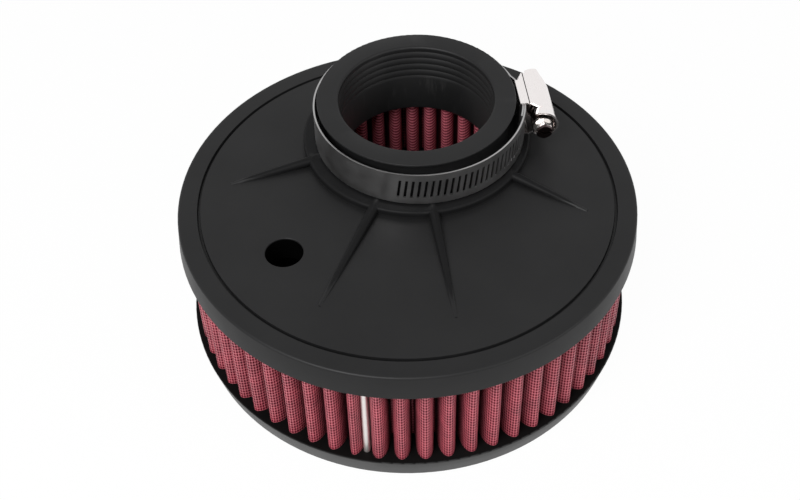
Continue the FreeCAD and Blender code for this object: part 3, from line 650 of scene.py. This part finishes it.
def make_band(material):
    """The clamp's steel strip, with worm slots cut through it where the screw draws it in."""
    points, tail_start = strip_path()
    reaches = [0.0]
    for pair in zip(points, points[1:]):
        reaches.append(reaches[-1] + math.dist(*pair))

    def spot(reach, high, depth):
        """A point this far along the strip, at this height, and this deep below its outer face."""
        i = max(1, min(len(points) - 1, bisect_left(reaches, reach)))
        (out, along), (end_out, end_along) = points[i - 1], points[i]
        length = reaches[i] - reaches[i - 1]
        way_out = (end_out - out) / length
        way_along = (end_along - along) / length
        past = reach - reaches[i - 1]
        out += way_out * past - way_along * depth
        along += way_along * past + way_out * depth
        return clamp_place(out, along, high)

    slots = [tail_start + SLOT_PITCH * k for k in SLOT_NUMBERS]
    columns = [(slots[0] - SLOT_MARGIN) * k / PLAIN_COLUMNS for k in range(PLAIN_COLUMNS + 1)]
    for slot in slots:
        columns += [slot - SLOT_HALF_WIDTH, slot + SLOT_HALF_WIDTH]
    columns.append(reaches[-1])
    last = len(columns) - 1
    slotted = range(PLAIN_COLUMNS + 1, last)
    open_columns = slotted[::2]
    rows = (
        (-STRIP_HALF, 0.0),
        (-SLOT_HALF_HEIGHT, -SLOT_LEAN),
        (SLOT_HALF_HEIGHT, SLOT_LEAN),
        (STRIP_HALF, 0.0),
    )
    vertices = []
    for index, reach in enumerate(columns):
        for high, lean in rows:
            place = reach + lean if index in slotted else reach
            vertices.extend((spot(place, high, 0.0), spot(place, high, STRIP_SHEET)))

    def corner(column, row, inner):
        return (column * len(rows) + row) * 2 + inner

    # The strip has three rows of cells, and the slots are open cells of the middle one
    faces = []
    for column in range(last):
        after = column + 1
        for row in range(3):
            if column in open_columns and row == 1:
                continue
            faces.append([corner(column, row, 0), corner(after, row, 0),
                          corner(after, row + 1, 0), corner(column, row + 1, 0)])
            faces.append([corner(column, row, 1), corner(column, row + 1, 1),
                          corner(after, row + 1, 1), corner(after, row, 1)])
        for row, upward in ((0, False), (1, True), (2, False), (3, True)):
            if row in (1, 2) and column not in open_columns:
                continue
            face = [corner(column, row, 0), corner(after, row, 0),
                    corner(after, row, 1), corner(column, row, 1)]
            faces.append(face if upward else face[::-1])
        if column in open_columns:
            for at, onward in ((column, True), (after, False)):
                face = [corner(at, 1, 0), corner(at, 1, 1), corner(at, 2, 1), corner(at, 2, 0)]
                faces.append(face if onward else face[::-1])
    for row in range(3):
        for at, onward in ((0, False), (last, True)):
            face = [corner(at, row, 0), corner(at, row, 1), corner(at, row + 1, 1), corner(at, row + 1, 0)]
            faces.append(face if onward else face[::-1])
    piece = mesh_piece("band", vertices, faces, material, "filter", crease=30.0)
    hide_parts("clamp_band")


# The housing's arch over the screw, in mm. Its ends follow tables: degrees from its crown, and reach along
HOUSING_SHEET = 0.65
ARCH_RADIUS = 4.3
ARCH_DEGREES = 122.0
ARCH_STEPS = 76
REAR_EDGE = ((0.0, 7.0), (18.0, 7.0), (40.0, 8.5), (62.0, 11.5), (70.0, 14.0), (180.0, 14.0))
MOUTH_EDGE = ((0.0, 10.5), (16.0, 10.5), (84.0, 9.75), (126.0, 8.8), (180.0, 8.8))
MOUTH_DEPTH = 1.6
CROWN_FLARE = 0.35
LEAST_FLARE = 0.1

# The housing's wrap round the strip, in mm
WRAP_HALF = 7.1
WRAP_TOP = SCREW_OUT + 0.8
WRAP_WAIST = SCREW_OUT - 1.3
WRAP_SHOULDER = SADDLE + 3.8
WRAP_REACH = 6.1
REAR_TAB = 3.7
CORNER_FOOT = SADDLE + 1.3
CORNER_TOP = SADDLE + 2.9
OUTER_BEND = 0.6
INNER_BEND = 0.1


def rounded(points, radius):
    """A polyline with each inner corner bent round: four points in place of one."""
    bent = [points[0]]
    for before, corner, after in zip(points, points[1:], points[2:]):
        corner = Vector(corner)
        toward = (Vector(before) - corner).normalized()
        onward = (Vector(after) - corner).normalized()
        for share in (0.0, 0.33, 0.67, 1.0):
            near = corner + toward * radius * (1.0 - share) ** 2
            bent.append(tuple(near + onward * radius * share ** 2))
    return [*bent, points[-1]]


def edge_reach(edge, degrees):
    """How far along the screw an end of the arch reaches, this far round from its crown."""
    for (low, at_low), (high, at_high) in zip(edge, edge[1:]):
        if degrees <= high:
            return at_low + (at_high - at_low) * (degrees - low) / (high - low)
    return edge[-1][1]


def make_housing(material):
    """The worm's housing in folded sheet: an arch over the screw, cut away at its rear, above a wrap."""
    inner = ARCH_RADIUS
    outer = ARCH_RADIUS + HOUSING_SHEET
    vertices = []
    for step in range(ARCH_STEPS + 1):
        degrees = -ARCH_DEGREES + 2.0 * ARCH_DEGREES * step / ARCH_STEPS
        angle = math.radians(degrees)
        rear = edge_reach(REAR_EDGE, abs(degrees))
        front = -edge_reach(MOUTH_EDGE, abs(degrees))
        flare = CROWN_FLARE * max(0.0, math.cos(angle)) + LEAST_FLARE
        for radius, along in (
            (outer + flare, front),
            (outer, front + MOUTH_DEPTH),
            (outer, rear),
            (inner, rear),
            (inner, front + MOUTH_DEPTH),
            (inner + flare, front),
        ):
            out, high = polar(radius, angle)
            vertices.append(clamp_place(SCREW_OUT + out, along, high))
    faces = rings_to_faces(ARCH_STEPS + 1, 6)

    start = len(vertices)
    outside = [(WRAP_TOP, 4.88), (WRAP_WAIST, 5.6)]
    inside = [(WRAP_TOP, 4.4), (WRAP_WAIST, 4.95)]
    outside += [(out, WRAP_HALF) for out in (WRAP_SHOULDER, CORNER_TOP, CORNER_FOOT, SADDLE)]
    inside += [(out, WRAP_HALF - HOUSING_SHEET)
               for out in (WRAP_SHOULDER - INNER_BEND, CORNER_TOP, CORNER_FOOT, SADDLE + HOUSING_SHEET)]
    outside += [(out, -high) for out, high in reversed(outside)]
    inside += [(out, -high) for out, high in reversed(inside)]
    pairs = list(zip(rounded(outside, OUTER_BEND), rounded(inside, INNER_BEND)))
    for (out, high), (out_inner, high_inner) in pairs:
        rear = WRAP_REACH + REAR_TAB * share_between(out, CORNER_FOOT, CORNER_TOP)
        vertices.append(clamp_place(out, -WRAP_REACH, high))
        vertices.append(clamp_place(out, rear, high))
        vertices.append(clamp_place(out_inner, rear, high_inner))
        vertices.append(clamp_place(out_inner, -WRAP_REACH, high_inner))
    faces += rings_to_faces(len(pairs), 4, start)
    piece = mesh_piece("housing", vertices, faces, material, "filter", crease=30.0)
    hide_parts("clamp_housing")


# The photograph's view
CAMERA_AZIMUTH = math.radians(8.055)
CAMERA_ELEVATION = math.radians(47.386)
CAMERA_ROLL = math.radians(-1.434)
CAMERA_PLACE = Vector((40.351, -304.836, 361.044)) * MM
SENSOR_WIDTH = 36.0
FOCAL_LENGTH = 58.62

# The studio: its light on the object, and the floor
WORLD_LIGHT = 0.32
FLOOR_SHADE = (0.85, 0.85, 0.85, 1.0)
FLOOR_ROUGHNESS = 0.9
FLOOR_GLOW = 0.97
FLOOR_HALF = 6.0
FLOOR_DROP = 0.2 * MM
OBJECT_MIDDLE = (0.0, 0.0, 0.03)


def make_camera():
    """The photograph's own view: from above the front, rolled a little."""
    right = Vector((math.cos(CAMERA_AZIMUTH), math.sin(CAMERA_AZIMUTH), 0.0))
    ahead = Vector((
        -math.sin(CAMERA_AZIMUTH) * math.cos(CAMERA_ELEVATION),
        math.cos(CAMERA_AZIMUTH) * math.cos(CAMERA_ELEVATION),
        -math.sin(CAMERA_ELEVATION),
    ))
    above = right.cross(ahead)
    level = right * math.cos(CAMERA_ROLL) + above * math.sin(CAMERA_ROLL)
    upright = above * math.cos(CAMERA_ROLL) - right * math.sin(CAMERA_ROLL)
    data = bpy.data.cameras.new("camera")
    data.sensor_width = SENSOR_WIDTH
    data.lens = FOCAL_LENGTH
    camera = bpy.data.objects.new("camera", data)
    bpy.context.scene.collection.objects.link(camera)
    turn = Matrix((level, upright, -ahead)).transposed().to_4x4()
    camera.matrix_world = Matrix.Translation(CAMERA_PLACE) @ turn
    bpy.context.scene.camera = camera


def area_lamp(name, place, width, power):
    """A square lamp that faces the object's middle."""
    data = bpy.data.lights.new(name, "AREA")
    data.shape = "RECTANGLE"
    data.size = width
    data.size_y = width
    data.energy = power
    lamp = bpy.data.objects.new(name, data)
    lamp.location = place
    lamp.rotation_euler = (Vector(OBJECT_MIDDLE) - Vector(place)).to_track_quat("-Z", "Y").to_euler()
    bpy.context.scene.collection.objects.link(lamp)


def background_share(tree):
    """1 for a ray that shows the background: straight from the camera, mirrored or passed through."""
    path = tree.nodes.new("ShaderNodeLightPath")
    share = path.outputs["Is Camera Ray"]
    for name in ("Is Glossy Ray", "Is Transmission Ray"):
        most = tree.nodes.new("ShaderNodeMath")
        most.operation = "MAXIMUM"
        tree.links.new(share, most.inputs[0])
        tree.links.new(path.outputs[name], most.inputs[1])
        share = most.outputs[0]
    return share


def make_world():
    """White where it is seen, and dimmer where it only lights the object."""
    world = bpy.data.worlds.new("studio")
    bpy.context.scene.world = world
    world.use_nodes = True
    tree = world.node_tree
    shown = tree.nodes["Background"]
    shown.inputs["Color"].default_value = (1.0, 1.0, 1.0, 1.0)
    strength = tree.nodes.new("ShaderNodeMapRange")
    tree.links.new(background_share(tree), strength.inputs["Value"])
    strength.inputs["To Min"].default_value = WORLD_LIGHT
    strength.inputs["To Max"].default_value = 1.0
    tree.links.new(strength.outputs[0], shown.inputs["Strength"])


def make_floor():
    """A pale floor that keeps a little of the object's shadow."""
    material = bpy.data.materials.new("floor")
    material.use_nodes = True
    tree = material.node_tree
    diffuse = tree.nodes["Principled BSDF"]
    diffuse.inputs["Base Color"].default_value = FLOOR_SHADE
    diffuse.inputs["Roughness"].default_value = FLOOR_ROUGHNESS
    diffuse.inputs["Specular IOR Level"].default_value = 0.0
    glow = tree.nodes.new("ShaderNodeEmission")
    blend = tree.nodes.new("ShaderNodeMixShader")
    share = tree.nodes.new("ShaderNodeMath")
    share.operation = "MULTIPLY"
    share.inputs[1].default_value = FLOOR_GLOW
    tree.links.new(background_share(tree), share.inputs[0])
    tree.links.new(share.outputs[0], blend.inputs[0])
    tree.links.new(diffuse.outputs[0], blend.inputs[1])
    tree.links.new(glow.outputs[0], blend.inputs[2])
    tree.links.new(blend.outputs[0], tree.nodes["Material Output"].inputs["Surface"])
    mesh = bpy.data.meshes.new("floor")
    corners = [(-FLOOR_HALF, -FLOOR_HALF, 0), (FLOOR_HALF, -FLOOR_HALF, 0),
               (FLOOR_HALF, FLOOR_HALF, 0), (-FLOOR_HALF, FLOOR_HALF, 0)]
    mesh.from_pydata(corners, [], [(0, 1, 2, 3)])
    mesh.materials.append(material)
    floor = bpy.data.objects.new("floor", mesh)
    floor.location.z = -FLOOR_DROP
    bpy.context.scene.collection.objects.link(floor)


bpy.context.scene.view_settings.view_transform = "Standard"

cap_rubber = rubber("cap_rubber", RUBBER, CAP_SPECULAR, cap_streaks_and_painted_light)
# The base's ledge takes the darker rubber as painted shade
base_rubber = rubber("base_rubber", PAINTED_SHADE_RUBBER, LEDGE_SPECULAR, base_painted_light)
band_steel = steel("band_steel", (0.42, 0.415, 0.415), roughness=0.34, grain=(300.0, 300.0, 9000.0),
                   streak=0.12, relief=0.08)
housing_steel = steel("housing_steel", (0.86, 0.82, 0.81), roughness=0.24, grain=(2600.0, 600.0, 2600.0),
                      streak=0.05)
screw_steel = steel("screw_steel", (0.74, 0.71, 0.69), roughness=0.22, grain=(2000.0, 500.0, 2000.0),
                    streak=0.1, painted_light=screw_painted_shade)
seam_metal = steel("seam_metal", (0.84, 0.8, 0.78), roughness=0.48, grain=(1200.0, 1200.0, 300.0),
                   streak=0.05)
red_gauze = gauze("red_gauze")

dress("top_cap", cap_rubber, crease=35.0)
dress("bottom_cap", base_rubber, crease=35.0)
dress("seam_clip", seam_metal, crease=40.0)
dress("clamp_screw", screw_steel, crease=30.0)
make_pleats(red_gauze)
make_thread(screw_steel)
make_band(band_steel)
make_housing(housing_steel)
make_camera()
make_world()
make_floor()
area_lamp("key", (-0.25, -0.6, 0.7), width=0.5, power=8.0)
area_lamp("fill", (0.7, -0.3, 0.5), width=0.6, power=2.0)
